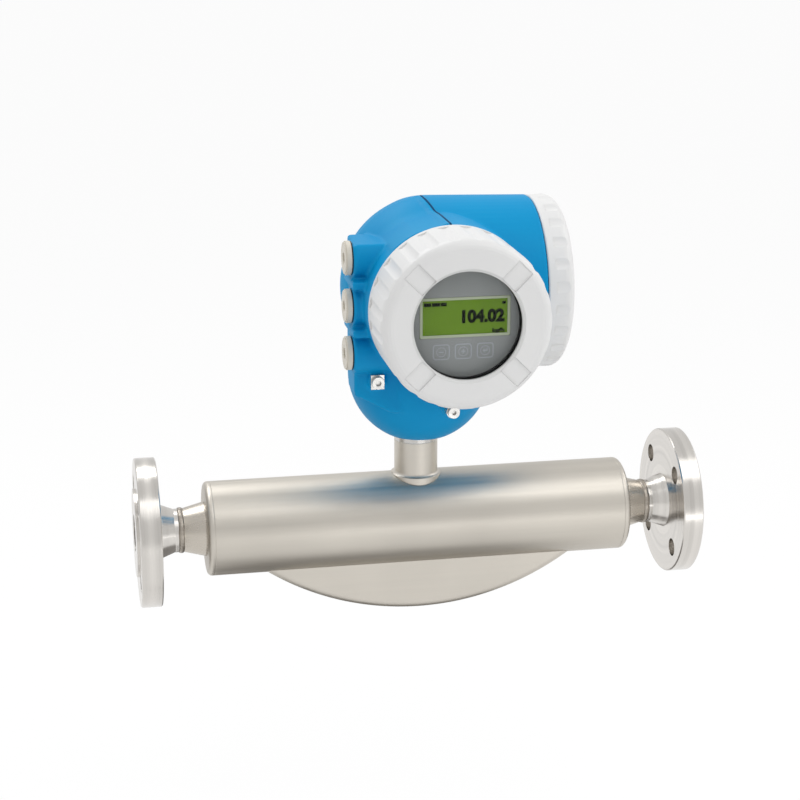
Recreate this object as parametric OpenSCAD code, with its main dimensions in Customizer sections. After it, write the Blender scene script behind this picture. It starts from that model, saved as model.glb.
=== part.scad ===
// Coriolis flow meter, DN 25, with a two-compartment field transmitter.
// The origin is the centre of the inlet flange's sealing face.
// +X runs along the pipe to the outlet, +Z runs up the neck, and the display faces -Y.
// Lengths are in millimetres.

/* [Process line] */
// Length from sealing face to sealing face
face_to_face = 440; // [420:1:520]
// Radius of the flow bore in the flanges
port_r = 14.25; // [12:0.25:15]
// Outer radius of the pipe end that the flange is welded to
pipe_r = 16.85; // [16.5:0.05:18]

/* [Flanges] */
// Outer radius of the flange disc
flange_r = 57.5; // [56:0.5:62]
// Thickness of the flange with its raised face
flange_t = 18; // [14:1:22]
// Length of the flange with its welding neck
flange_len = 35; // [32:1:40]
// Radius of the raised sealing face
raised_r = 34; // [30:1:34]
// Height of the raised sealing face
raised_h = 2; // [1:0.5:3]
// Radius of the welding neck where it meets the disc
flange_hub_r = 21.5; // [20:0.5:26]
// Length of the straight end of the welding neck
weld_end = 5; // [3:1:8]
// Radius of the bolt circle
bolt_circle_r = 42.5; // [42:0.5:46]
// Radius of a bolt hole
bolt_hole_r = 7; // [5:0.5:8]
// Number of bolt holes
bolt_holes = 4; // [4:4:8]
// Chamfer on the rim of the disc
rim_chamfer = 0.8; // [0.4:0.1:1.5]

/* [Sensor casing] */
// Outer radius of the casing tube
casing_r = 36.5; // [36:0.5:40]
// Wall of the casing tube and of its belly
casing_wall = 2; // [1.5:0.25:3]
// Length of the casing over its end caps
casing_len = 332; // [326:1:340]
// Thickness of an end cap
cap_t = 5; // [4:0.5:6]
// Rounding of an end cap's rim
cap_round = 3.5; // [2:0.5:3.5]
// Radius of the belly's lower edge
belly_r = 210; // [205:1:215]
// Depth of the belly below the pipe's axis
belly_depth = 70.5; // [69:0.5:76]
// Width of the belly
belly_w = 40; // [39:0.5:42]
// Rounding of the belly's lower edge
belly_round = 5; // [3:0.5:7]

/* [Measuring tubes] */
// Outer radius of a measuring tube
tube_r = 6.5; // [6:0.25:6.5]
// Wall of a measuring tube
tube_wall = 0.9; // [0.7:0.1:1.2]
// Distance between the two tubes' axes
tube_pitch = 21; // [20:0.5:22]
// Drop of the tubes below the pipe's axis
tube_drop = 51; // [46:0.5:52]
// Thickness of the manifold's wall that holds the tubes
tube_socket = 11; // [10:0.5:12]

/* [Manifolds] */
// Radius of the manifold inside the casing
manifold_r = 25; // [24:0.5:28]
// Length of the manifold inside the casing
manifold_in = 20; // [19:0.5:22]
// Radius where the manifold passes through the end cap
manifold_neck_r = 21; // [19:0.5:23]
// Radius of the chamber that feeds both tubes
chamber_r = 17.8; // [17.5:0.1:18.5]

/* [Tube fittings] */
// Thickness of a brace plate
brace_t = 1.5; // [1:0.25:2.5]
// Angle between the two brace plates of one end
brace_step = 2.5; // [2:0.5:3.5]
// Angle of the pickups from the middle of the tubes
pickup_angle = 17.5; // [14:0.5:20]
// Outer radius of a coil
coil_r = 5; // [4.5:0.25:5.5]
// Length of a coil
coil_len = 3; // [2.5:0.25:3.5]
// Radius of a magnet
magnet_r = 2.6; // [2:0.1:3]
// Width of the flexible signal strip
strip_w = 4; // [3:0.5:6]
// Thickness of the flexible signal strip
strip_t = 0.5; // [0.3:0.1:0.8]

/* [Neck] */
// Height of the housing's underside above the casing tube
neck_len = 32.5; // [30:0.5:60]
// Wall of the neck tube
neck_wall = 2.6; // [2:0.1:3]
// Width of the weld at the neck's foot
weld_w = 2.6; // [1:0.1:4]
// Length of the swivel spigot inside the housing
spigot_len = 22; // [20:1:26]
// Radius of the swivel spigot
spigot_r = 14.5; // [14:0.1:15]
// Radial clearance of the swivel
swivel_gap = 0.08; // [0.05:0.01:0.1]

/* [Transmitter housing] */
// Height of both compartments' axes above the housing's underside
comp_h = 117.3; // [116:0.1:124]
// Radius of the housing round its compartments
shell_r = 68; // [67:0.5:70]
// Casting wall at the mouths
shell_wall = 7; // [6:0.5:8]
// Offset of the display compartment's axis to the right of the neck
front_x = 9.5; // [7:0.1:11]
// Offset of the electronics compartment's axis in front of the neck
side_y = 4; // [2:0.5:6]
// Reach of the display compartment's mouth in front of the neck
front_reach = 84; // [80:1:88]
// Reach of the electronics compartment's mouth to the right of the neck
side_reach = 85.7; // [84:0.1:92]
// Outer radius of the display compartment's mouth
front_mouth_r = 61; // [60:0.5:63]
// Outer radius of the electronics compartment's mouth
side_mouth_r = 66; // [64:0.5:67]
// Thickness of the wall between the compartments
divider_t = 6; // [4:0.5:8]
// Depth of the display compartment
front_depth = 50; // [48:1:54]

/* [Covers] */
// Outer radius of the display cover
front_cover_r = 61.5; // [61.5:0.5:66]
// Length of the display cover
front_cover_len = 56; // [54:1:60]
// Radius of the display window
window_r = 38.8; // [36:0.1:40]
// Outer radius of the electronics cover
side_cover_r = 66; // [64:0.5:67]
// Length of the electronics cover
side_cover_len = 22.3; // [18:0.1:26]
// Number of grip flutes on a cover
flutes = 24; // [16:4:32]
// Depth of a grip flute
flute_depth = 1.2; // [0.6:0.1:2]
// Length of a cover's threaded skirt
skirt_len = 10; // [10:1:14]
// Wall of a cover
cover_wall = 4; // [3:0.5:5]
// Radial clearance of a cover's skirt in its mouth
thread_gap = 0.3; // [0.3:0.05:0.5]

/* [Cable entries] */
// Distance between the cable entries
entry_pitch = 35.7; // [34:0.1:36.4]
// Distance of the entries in front of the neck
entry_y = 48; // [46:0.5:50]
// Reach of the entries' faces to the left of the neck
entry_reach = 58; // [56:0.5:60]
// Radius of an entry's thread
entry_r = 10; // [8:0.5:10]
// Radius of a plug's head
plug_head_r = 12.6; // [11.5:0.1:13]
// Height of a plug's head
plug_head_t = 4.5; // [3:0.5:6]

/* [Display] */
// Radius of the display module
display_r = 45; // [43:0.5:47]
// Length of the display module
display_len = 24; // [22:1:26]
// Width of the display glass
lcd_w = 65; // [58:0.5:68]
// Height of the display glass
lcd_h = 29; // [26:0.2:32]
// Height of the display glass above the module's axis
lcd_rise = 4.1; // [1:0.1:5]

/* [Hidden] */
$fn = 96;

// Clearances
fit_gap = 0.05;     // brazed, pressed and screwed joints within one body
seat_gap = 0.2;     // between a cover and its mouth, and under the housing
part_gap = 0.3;     // between pieces that move past each other

// Sensor, worked out from the middle of the pipe
mid_x = face_to_face / 2;
weld_x = mid_x - flange_len;                 // welds between manifold and flange
casing_half = casing_len / 2;
cap_in = casing_half - cap_t;                // inner face of an end cap
manifold_face = cap_in - manifold_in;        // inner face of a manifold
belly_z = belly_r - belly_depth;             // axis of the belly's round edge
belly_in = 45;                               // depth of the belly's section, into the casing
belly_half_angle = 38;                       // its ends lie inside the casing
tube_in_r = tube_r - tube_wall;
tube_half = manifold_face + tube_socket - 2; // from the middle to where a tube ends
bow_r = (tube_half ^ 2 + tube_drop ^ 2) / (2 * tube_drop);
bow_z = bow_r - tube_drop;                   // axis of the tubes' bow
bow_angle = asin(tube_half / bow_r);         // from the bow's lowest point to its end
brace_angle = bow_angle - 8.5;
bore_lap = 2;                                // angle that a tube's bore runs on into the chamber
coil_seat = tube_pitch / 2 - tube_r;         // from the middle plane to a tube's side
coil_foot = 1.5;                             // depth of a fitting's foot on its tube
coil_in_r = magnet_r + 0.6;
magnet_dip = 1;                              // depth of a magnet in its coil
strip_hold = 0.4;                            // from a coil's hole to the strip's end
thermo_r = 2.2;
thermo_len = 4;
thermo_foot = 1;

// Neck, in heights above the housing's underside
neck_in_r = pipe_r - neck_wall;
spigot_foot = 5;
spigot_in_r = 9;
floor_t = spigot_len - 4;                    // floor of the housing round the spigot
groove_z = 4;                                // seal groove on the spigot
seal_r = 1.1;
seal_floor_r = spigot_r - 2 * seal_r;
lock_z = 12;                                 // fixing screw and its groove
lock_groove_r = spigot_r - 1.5;
screw_r = 3;
screw_tip_r = 2.2;
feedthrough_low = casing_r + 8;
circlip_t = 1.5;
feedthrough_t = 6;
cable_r = 3;
cable_plug_r = 6;
cable_plug_len = 12;
cable_top = 40;

// Housing
head_z = casing_r + neck_len;                // underside of the housing over the pipe's axis
front_bore_r = front_mouth_r - shell_wall;
side_bore_r = side_mouth_r - shell_wall;
divider_y = front_reach - front_depth;       // front face of the divider, before the neck
divider_back = divider_y - divider_t;
ridge_x = 3.3;                               // right-hand edge of the raised shoulder
shoulder_lift = 0.8;                         // rise of the shoulder over the round shell
lip_h = 0.9;                                 // lip along the shoulder's edge
lip_w = 3.5;
shoulder_low = 44;                           // shoulder's lower edge above the compartments' axis
recess_y = 22;                               // back of the recess that holds the cable entries
shoulder_fillet = 40;                        // between the shoulder's corner and its front part
bowl_r = 55;                                 // ball between the compartments and the neck
bowl_h = 49.5;
bowl_x = 2.4;
bowl_wall = 6;
entry_boss_r = 15;
entry_z = comp_h - 3.2;                      // height of the middle entry
entry_floor = 26;                            // inner end of the entries
block_reach = 56;                            // left face of the block that holds the entries
block_low = 43;                              // its lower left corner, which slopes down inwards
block_round = 5;
block_foot = [-28, 30];
rib_t = 6;
rib_reach = 66;
plug_seal_t = 1;
plug_shank = 14;
mouth_depth = 22;                            // round part of the electronics compartment
post_x = 24;                                 // posts under the sensor module
post_y = 10;
post_r = 3;
ground_x = -40;
ground_y = 54;
ground_z = comp_h - 60.3;
ground_r = 7;

// Covers
cover_face_t = 4;                            // face of the display cover round its window
ring_land = 4.5;                             // ledge that holds the window's glass
glass_t = 6;
gasket_t = 0.8;
window_ring_t = 2;
pocket_r = window_r + ring_land;
pocket_t = gasket_t + glass_t + window_ring_t;
face_ring_r = 53;                            // flat ring round the window
cover_slope = 9;                             // length of the slope beside the flat ring
flute_r = 9;
seal_cord_r = 1.2;
skirt_wall = 3.5;
seal_depth = 1.8;                            // of the seal's middle below a mouth's rim
rim_h = 6;                                   // plain rim behind the grip flutes
notch_depth = 1.6;                           // of the four tool notches in a cover's face
notch_w = 14;
notch_reach = 57;
lock_screw_r = 2.5;
lock_arm = 14;                               // from a lock's axis to its cover's rim
lock_r = 5;
lock_t = 7;
lock_boss_len = 22;
side_lock_angle = 40;                        // turned from straight down to the back

// Display
window_face = front_reach + front_cover_len; // front of the display cover, before the neck
display_front = window_face - cover_face_t - pocket_t - 0.8;
bezel_t = 3;
panel_sink = 0.6;
board_t = 1.6;
display_back = display_front - display_len;
holder_r = 47;
holder_ring_t = 6;

// Electronics
carrier_w = 84;
carrier_h = 72;
carrier_x = 22;                              // middle of the carrier, right of the neck
carrier_wall = 3;
board_depth = 44;
board_step = 24;
// Parts on the boards, each with its corner on the board and its size
sensor_board = [60, 36];
sensor_parts = [[4, 4, 40, 28, 9], [48, 8, 8, 20, 6]];
main_parts = [[8, 8, 22, 22, 3], [38, 8, 12, 16, 2], [38, 30, 24, 8, 7]];
signal_parts = [[6, 6, 10, 30, 9], [24, 6, 10, 30, 9], [42, 10, 20, 14, 2.5]];
power_parts = [[8, 8, 24, 20, 13]];
capacitor_r = 5.5;
capacitor_h = 12;
capacitor_y = 16;
capacitor_xs = [42, 56];
terminal_board_t = 2;
terminal_pitch = 6;

// ---- Placing ----

module at_middle() translate([mid_x, 0, 0]) children();

// Mirrors a part of the outlet end to the inlet end, with side = -1
module at_end(side) at_middle() mirror([side < 0 ? 1 : 0, 0, 0]) children();

// Revolves a profile of (radius, distance along the pipe)
module along_pipe() rotate([0, 90, 0]) rotate_extrude() children();

// Revolves a profile of (radius, offset) round a cross axis at height z, from angle a0 to a1,
// with angles counted from +X towards +Z
module swept(z, a0, a1) translate([0, 0, z]) rotate([90, 0, 0]) rotate([0, 0, a0])
    rotate_extrude(angle = a1 - a0) children();

module at_head() translate([mid_x, 0, head_z]) children();

// Local +Z points out of the display compartment, local +Y points up
module out_front() at_head() translate([front_x, 0, comp_h]) rotate([90, 0, 0]) children();

// Local +Z points out of the electronics compartment, local +Y points up
module out_side() at_head() translate([0, -side_y, comp_h]) rotate([90, 0, 90]) children();

module ring(outer, inner, len, z = 0) translate([0, 0, z]) difference() {
    cylinder(r = outer, h = len);
    translate([0, 0, -1]) cylinder(r = inner, h = len + 2);
}

module torus(major, minor, z = 0) translate([0, 0, z]) rotate_extrude()
    translate([major, 0]) circle(r = minor, $fn = 32);

// A hexagonal hole, af across its flats
module hex_hole(af, depth) cylinder(r = af / 2 / cos(30), h = depth, $fn = 6);

// ---- Process line ----

module end_flange(side) color("gainsboro") at_end(side) difference() {
    translate([weld_x, 0, 0]) along_pipe() polygon([
        [port_r, 0], [pipe_r, 0], [pipe_r, weld_end],
        [flange_hub_r, flange_len - flange_t],
        [flange_r - rim_chamfer, flange_len - flange_t],
        [flange_r, flange_len - flange_t + rim_chamfer],
        [flange_r, flange_len - raised_h - rim_chamfer],
        [flange_r - rim_chamfer, flange_len - raised_h],
        [raised_r, flange_len - raised_h], [raised_r, flange_len], [port_r, flange_len]
    ]);
    for (i = [0 : bolt_holes - 1])
        rotate([(i + 0.5) * 360 / bolt_holes, 0, 0])
            translate([mid_x - flange_t - 1, 0, bolt_circle_r])
                rotate([0, 90, 0]) cylinder(r = bolt_hole_r, h = flange_t + 2);
}

// The casting that feeds both tubes, from the chamber in the casing to the flange's weld
module manifold(side) color("silver") at_end(side) difference() {
    chamber_x = manifold_face + tube_socket;
    along_pipe() polygon([
        [0, manifold_face], [manifold_r, manifold_face],
        [manifold_r, cap_in], [manifold_neck_r, cap_in], [manifold_neck_r, casing_half + 1],
        [pipe_r + 0.8, weld_x - 5], [pipe_r, weld_x - 2], [pipe_r, weld_x], [0, weld_x]
    ]);
    translate([weld_x - 8, 0, 0]) rotate([0, 90, 0]) cylinder(r = port_r, h = 9);
    translate([chamber_x, 0, 0]) rotate([0, 90, 0])
        cylinder(r1 = chamber_r, r2 = port_r, h = weld_x - 8 - chamber_x);
    for (side = [-1, 1]) {
        tube_bar(side, tube_r + fit_gap, bow_angle / 2, bow_angle);
        tube_bar(side, tube_in_r, bow_angle / 2, bow_angle + bore_lap);
    }
}

// ---- Casing ----

module end_cap(side) color("silver") at_end(side) along_pipe() {
    bore = manifold_neck_r + fit_gap;
    translate([bore, cap_in]) square([casing_r - cap_round - bore, cap_t]);
    translate([bore, cap_in]) square([casing_r - bore, cap_t - cap_round]);
    translate([casing_r - cap_round, casing_half - cap_round]) intersection() {
        circle(r = cap_round);
        square(cap_round);
    }
}

// Half-section of the belly, w wide, out to radius r
module belly_section(r, w, round) {
    translate([r - belly_in, -w / 2]) square([belly_in - round, w]);
    translate([r - round - 1, -w / 2 + round]) square([round + 1, w - 2 * round]);
    for (s = [-1, 1]) translate([r - round, s * (w / 2 - round)]) circle(r = round, $fn = 48);
}

// Sweeps the belly's section along its round lower edge
module belly_sweep() swept(belly_z, -90 - belly_half_angle, -90 + belly_half_angle) children();

module belly_space() belly_sweep()
    belly_section(belly_r - casing_wall, belly_w - 2 * casing_wall, belly_round - casing_wall);

module casing_core(r) translate([-casing_half - 20, 0, 0]) rotate([0, 90, 0])
    cylinder(r = r, h = casing_len + 40);

module casing_tube() color("silver") at_middle() difference() {
    translate([-cap_in, 0, 0]) rotate([0, 90, 0]) ring(casing_r, casing_r - casing_wall, 2 * cap_in);
    belly_space();
    cylinder(r = neck_in_r, h = casing_r + 1);
}

module casing_belly() color("silver") at_middle() difference() {
    belly_sweep() belly_section(belly_r, belly_w, belly_round);
    belly_space();
    casing_core(casing_r);
}

// ---- Measuring tubes ----

// A bar of radius r along one tube's axis, from angle a0 to a1 of its bow
module tube_bar(side, r, a0, a1) translate([0, side * tube_pitch / 2, 0])
    swept(bow_z, a0 - 90, a1 - 90) translate([bow_r, 0]) circle(r = r);

module measuring_tube(side) color("lightsteelblue") at_middle() difference() {
    tube_bar(side, tube_r, -bow_angle, bow_angle);
    tube_bar(side, tube_in_r, -bow_angle - 1, bow_angle + 1);
}

// Places children on the tubes' middle plane at an angle from their lowest point,
// with local +X along the tubes and local +Z towards the bow's axis
module on_tubes(angle) at_middle() translate([0, 0, bow_z]) rotate([0, -angle, 0])
    translate([0, 0, -bow_r]) children();

// The space that a tube takes, with the gap of a brazed seat
module tube_space(side) at_middle()
    tube_bar(side, tube_r + fit_gap, -bow_angle, bow_angle);

module brace_plate(angle) on_tubes(angle) rotate([90, 0, 90]) translate([0, 0, -brace_t / 2])
    linear_extrude(brace_t) difference() {
        union() {
            translate([-tube_pitch / 2, -tube_r - 2]) square([tube_pitch, 2 * tube_r + 4]);
            for (s = [-1, 1]) translate([s * tube_pitch / 2, 0]) circle(r = tube_r + 2);
        }
        for (s = [-1, 1]) translate([s * tube_pitch / 2, 0]) circle(r = tube_r + fit_gap);
    }

module brace_plates(side) color("gray")
    for (a = [brace_angle, brace_angle - brace_step]) brace_plate(side * a);

// A ring-shaped coil on the side of the front tube
module coil(angle) color("peru") difference() {
    on_tubes(angle) translate([0, -coil_seat - coil_foot, 0]) rotate([-90, 0, 0])
        ring(coil_r, coil_in_r, coil_foot + coil_len);
    tube_space(-1);
}

// A magnet on the side of the rear tube, which dips into its coil
module magnet(angle) color("dimgray") difference() {
    on_tubes(angle) translate([0, coil_len - coil_seat - magnet_dip, 0]) rotate([-90, 0, 0])
        cylinder(r = magnet_r, h = 2 * coil_seat - coil_len + magnet_dip + coil_foot);
    tube_space(1);
}

module tube_temperature_sensor() color("white") difference() {
    on_tubes(-pickup_angle - brace_step) translate([0, -tube_pitch / 2, tube_r - thermo_foot])
        cylinder(r = thermo_r, h = thermo_foot + thermo_len);
    tube_space(-1);
}

// A flat bar of width w from p0 to p1, in the plane of the pipe and the neck
module flat_bar(p0, p1, w) {
    run = p1 - p0;
    translate(p0) rotate(atan2(run.y, run.x)) translate([0, -w / 2]) square([norm(run), w]);
}

// The flexible strip from the coils up to the feedthrough in the neck
module signal_strip() color("orange") at_middle() {
    fork = [0, -tube_drop / 3];
    translate([0, coil_len - coil_seat + strip_t, 0]) rotate([90, 0, 0]) linear_extrude(strip_t) {
        flat_bar([0, coil_in_r + strip_hold - tube_drop], [0, feedthrough_low], strip_w);
        for (s = [-1, 1]) {
            coil_at = [s * bow_r * sin(pickup_angle), bow_z - bow_r * cos(pickup_angle)];
            back = (fork - coil_at) / norm(fork - coil_at);
            flat_bar(coil_at + back * (coil_in_r + strip_hold), fork, strip_w);
        }
    }
}

// ---- Neck and swivel ----

module neck_tube() color("silver") at_middle() difference() {
    rotate_extrude() difference() {
        union() {
            translate([neck_in_r, 0]) square([neck_wall, head_z - spigot_foot]);
            square([pipe_r + weld_w, casing_r + weld_w]);
        }
        translate([pipe_r + weld_w, casing_r + weld_w]) circle(r = weld_w);
        square([neck_in_r, casing_r + weld_w + 1]);
    }
    casing_core(casing_r);
}

// Glass-sealed contacts that close the sensor off from the transmitter
module feedthrough() color("darkslategray") at_middle() {
    translate([0, 0, feedthrough_low]) cylinder(r = neck_in_r - fit_gap, h = feedthrough_t);
    for (i = [0 : 7]) rotate(i * 45) translate([7, 0, feedthrough_low - 3])
        cylinder(r = 0.6, h = feedthrough_t + 6);
}

module swivel_spigot() color("silver") at_head() difference() {
    union() {
        ring(pipe_r, spigot_in_r, spigot_foot - seat_gap, -spigot_foot);
        ring(spigot_r, spigot_in_r, spigot_len + spigot_foot, -spigot_foot);
    }
    ring(spigot_r + 1, seal_floor_r, 2 * seal_r + 0.3, groove_z - seal_r - 0.15);
    ring(spigot_r + 1, lock_groove_r, 2 * (screw_tip_r + part_gap), lock_z - screw_tip_r - part_gap);
    ring(spigot_r + 1, spigot_r - 1, circlip_t + 0.2, floor_t + seat_gap);
}

module swivel_seal() color("black") at_head()
    torus(spigot_r + swivel_gap - 0.06 - seal_r, seal_r, groove_z);

// The circlip that keeps the housing on its spigot
module swivel_circlip() color("gray") at_head() difference() {
    ring(spigot_r + 3.5, spigot_r - 0.9, circlip_t, floor_t + seat_gap + 0.1);
    translate([0, 0, floor_t]) rotate(-15) rotate_extrude(angle = 30) square([spigot_r + 5, circlip_t + 2]);
}

// The cable from the feedthrough to the plug under the sensor module
module sensor_cable() color("black") {
    at_middle() translate([0, 0, feedthrough_low + feedthrough_t])
        cylinder(r = cable_r, h = head_z + cable_top - cable_plug_len - feedthrough_low - feedthrough_t);
    at_head() translate([0, 0, cable_top - cable_plug_len]) cylinder(r = cable_plug_r, h = cable_plug_len);
}

// ---- Transmitter housing ----

// The bowl that joins the compartments to the neck, of radius r and with its floor at height low
module bowl(r, low) intersection() {
    translate([bowl_x, 0, bowl_h]) {
        sphere(r = r);
        cylinder(r = r, h = comp_h - bowl_h);
    }
    translate([-200, -200, low]) cube(400);
}

// The shoulder's section: its corner, its front part and the fillet between them
module shoulder_section(lift) {
    corner_r = shell_r + lift;
    front_r = front_mouth_r + lift;
    fillet_at = [front_r + shoulder_fillet,
                 sqrt((corner_r + shoulder_fillet) ^ 2 - (front_r + shoulder_fillet) ^ 2)];
    corner_end = fillet_at * corner_r / norm(fillet_at);
    intersection() {
        circle(r = corner_r);
        square(corner_r);
    }
    square([front_r, front_reach - side_y]);
    difference() {
        polygon([[0, 0], corner_end, fillet_at, [front_r, fillet_at.y]]);
        translate(fillet_at) circle(r = shoulder_fillet);
    }
}

// The raised shoulder on the left, cut away in front above the cable entries,
// with a lip along its right-hand edge
module shoulder() difference() {
    union() {
        difference() {
            shoulder_round(shoulder_lift);
            translate([ridge_x, -200, 0]) cube([200, 400, 400]);
        }
        difference() {
            shoulder_round(shoulder_lift + lip_h);
            translate([ridge_x, -200, 0]) cube([200, 400, 400]);
            translate([ridge_x - lip_w - 200, -200, 0]) cube([200, 400, 400]);
        }
    }
    translate([-200, -200, 0]) cube([400, 200 - recess_y, comp_h + shoulder_low]);
}

module shoulder_round(lift) translate([front_x, -side_y, comp_h]) rotate([90, 0, 0])
    rotate_extrude() shoulder_section(lift);

// The block that holds the cable entries, seen from the front
module block_outline() {
    polygon([
        [block_round - block_reach, block_low], block_foot, [-8, block_foot.y],
        [-8, comp_h + shoulder_low], [-block_reach, comp_h + shoulder_low],
        [-block_reach, block_low + block_round]
    ]);
    translate([block_round - block_reach, block_low + block_round]) circle(r = block_round);
}

// The three cable entries: their block, a boss round each, and the ribs between them
module entry_block() {
    translate([0, 4 - recess_y, 0]) rotate([90, 0, 0])
        linear_extrude(entry_y - recess_y + 4) block_outline();
    for (i = [-1, 0, 1]) intersection() {
        translate([-entry_reach, -entry_y, entry_z + i * entry_pitch]) rotate([0, 90, 0])
            cylinder(r = entry_boss_r, h = entry_reach - entry_floor);
        translate([-100, -100, comp_h + shoulder_low - 200]) cube(200);
    }
    for (s = [-1, 1])
        translate([-entry_reach - 1.5, -rib_reach, entry_z + s * entry_pitch / 2 - rib_t / 2])
            cube([entry_reach - entry_floor, rib_reach - recess_y, rib_t]);
}

// A boss beside a cover's rim, with its web to the mouth, seen along the cover's axis
module lock_boss(reach, rim_r) translate([0, 0, reach - lock_boss_len]) {
    translate([0, -rim_r - lock_arm, 0]) cylinder(r = lock_r + 1.5, h = lock_boss_len);
    translate([-lock_r, -rim_r - lock_arm, 0]) cube([2 * lock_r, lock_arm + 4, lock_boss_len - 2]);
}

module housing_outside() {
    translate([front_x, -side_y, comp_h]) {
        sphere(r = shell_r);
        rotate([0, 90, 0]) cylinder(r1 = shell_r, r2 = side_mouth_r, h = side_reach - front_x);
        rotate([90, 0, 0]) cylinder(r = front_mouth_r, h = front_reach - side_y);
    }
    bowl(bowl_r, 0);
    shoulder();
    entry_block();
    translate([ground_x, -ground_y, ground_z]) rotate([-90, 0, 0]) cylinder(r = ground_r, h = 25);
}

module housing_inside() {
    // display compartment
    translate([front_x, -divider_y, comp_h]) rotate([90, 0, 0]) cylinder(r = front_bore_r, h = 200);
    // electronics compartment, which is full round at its mouth
    translate([side_reach - mouth_depth, -side_y, comp_h]) rotate([0, 90, 0])
        cylinder(r = side_bore_r, h = 200);
    // and hollow behind and below the display compartment
    difference() {
        union() {
            translate([front_x, -side_y, comp_h]) {
                sphere(r = shell_r - shell_wall);
                rotate([0, 90, 0]) cylinder(r = side_bore_r, h = side_reach - front_x);
            }
            bowl(bowl_r - bowl_wall, floor_t);
        }
        translate([front_x, -divider_back, comp_h]) rotate([90, 0, 0])
            cylinder(r = front_mouth_r, h = 200);
    }
}

module transmitter_housing() color("deepskyblue") difference() {
    union() {
        at_head() difference() {
            housing_outside();
            housing_inside();
        }
        out_front() lock_boss(front_reach, front_cover_r);
        out_side() rotate(side_lock_angle) lock_boss(side_reach, side_cover_r);
        at_head() for (s = [-1, 1]) translate([s * post_x, post_y, floor_t - 1])
            cylinder(r = post_r, h = cable_top + part_gap - floor_t + 1);
    }
    at_head() {
        translate([0, 0, -1]) cylinder(r = spigot_r + swivel_gap, h = floor_t + 2);
        for (i = [-1, 0, 1]) translate([-entry_reach, -entry_y, entry_z + i * entry_pitch])
            rotate([0, 90, 0]) {
                translate([0, 0, -5]) cylinder(r = entry_r, h = entry_reach + 5 - entry_floor + 1);
                // spot face for the plug and its seal
                translate([0, 0, -20]) cylinder(r = plug_head_r + part_gap, h = 20);
            }
        translate([0, spigot_r - 4, lock_z]) rotate([-90, 0, 0])
            cylinder(r = screw_r + fit_gap, h = 40);
        translate([ground_x, -ground_y, ground_z]) rotate([-90, 0, 0])
            translate([0, 0, -1]) cylinder(r = screw_r + fit_gap, h = 13);
    }
    out_front() lock_hole(front_reach, front_cover_r);
    out_side() rotate(side_lock_angle) lock_hole(side_reach, side_cover_r);
}

module lock_hole(reach, rim_r) translate([0, -rim_r - lock_arm, reach - 14])
    cylinder(r = lock_screw_r + fit_gap, h = 15);

module housing_fixing_screw() color("gray") at_head() translate([0, 0, lock_z]) rotate([-90, 0, 0])
    difference() {
        union() {
            translate([0, 0, lock_groove_r + part_gap]) cylinder(r = screw_tip_r, h = 4);
            translate([0, 0, lock_groove_r + part_gap + 3]) cylinder(r = screw_r, h = 13);
        }
        translate([0, 0, lock_groove_r + part_gap + 12]) hex_hole(3, 5);
    }

// ---- Inside the transmitter ----

// Boxes that stand on a board, each [x, y, width, depth, height]
module board_parts(parts) for (p = parts) translate([p[0], p[1], board_t]) cube([p[2], p[3], p[4]]);

module sensor_module() color("darkgreen") at_head()
    translate([-sensor_board.x / 2, -sensor_board.y / 2, cable_top + part_gap]) {
        cube([sensor_board.x, sensor_board.y, board_t]);
        board_parts(sensor_parts);
    }

module electronics_carrier() color("dimgray") at_head()
    translate([-carrier_w / 2 + carrier_x, -divider_back, comp_h - carrier_h / 2]) {
        cube([carrier_w, carrier_wall, carrier_h]);
        for (x = [0, carrier_w - carrier_wall]) translate([x, 0, 0])
            cube([carrier_wall, board_depth + carrier_wall, carrier_h]);
    }

// A circuit board in the carrier at level i
module carrier_board(i) at_head() translate([
        carrier_x - carrier_w / 2 + carrier_wall + fit_gap, -divider_back + carrier_wall,
        comp_h + i * board_step
    ]) {
    cube([carrier_w - 2 * carrier_wall - 2 * fit_gap, board_depth, board_t]);
    children();
}

module main_board() color("darkgreen") carrier_board(0) board_parts(main_parts);

module signal_board() color("darkgreen") carrier_board(-1) board_parts(signal_parts);

module power_board() color("darkgreen") carrier_board(1) {
    board_parts(power_parts);
    for (x = capacitor_xs) translate([x, capacitor_y, board_t]) cylinder(r = capacitor_r, h = capacitor_h);
}

module terminal_board() color("darkgreen") out_front() translate([0, 0, divider_y])
    cylinder(r = front_bore_r - 1, h = terminal_board_t);

// A row of n screw terminals
module terminal_row(n) difference() {
    cube([n * terminal_pitch, 14, 15]);
    for (i = [0 : n - 1]) translate([(i + 0.5) * terminal_pitch, 9, 7]) cylinder(r = 2, h = 9);
    for (i = [0 : n - 1]) translate([(i + 0.5) * terminal_pitch - 1.75, -1, 2]) cube([3.5, 6, 4]);
}

module power_terminals() color("limegreen") out_front()
    translate([-20, -28, divider_y + terminal_board_t]) mirror([0, 1, 0]) terminal_row(2);

module signal_terminals() color("limegreen") out_front()
    translate([-12, 24, divider_y + terminal_board_t]) terminal_row(6);

module display_holder() color("dimgray") out_front() {
    ring(holder_r, holder_r - 6, holder_ring_t, display_back - part_gap - holder_ring_t);
    for (a = [45, 135, 270]) rotate(a)
        translate([holder_r - 3, 0, divider_y + terminal_board_t])
            cylinder(r = 2.8, h = display_back - part_gap - 1 - divider_y - terminal_board_t);
}

// ---- Cable entries and earth ----

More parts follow.
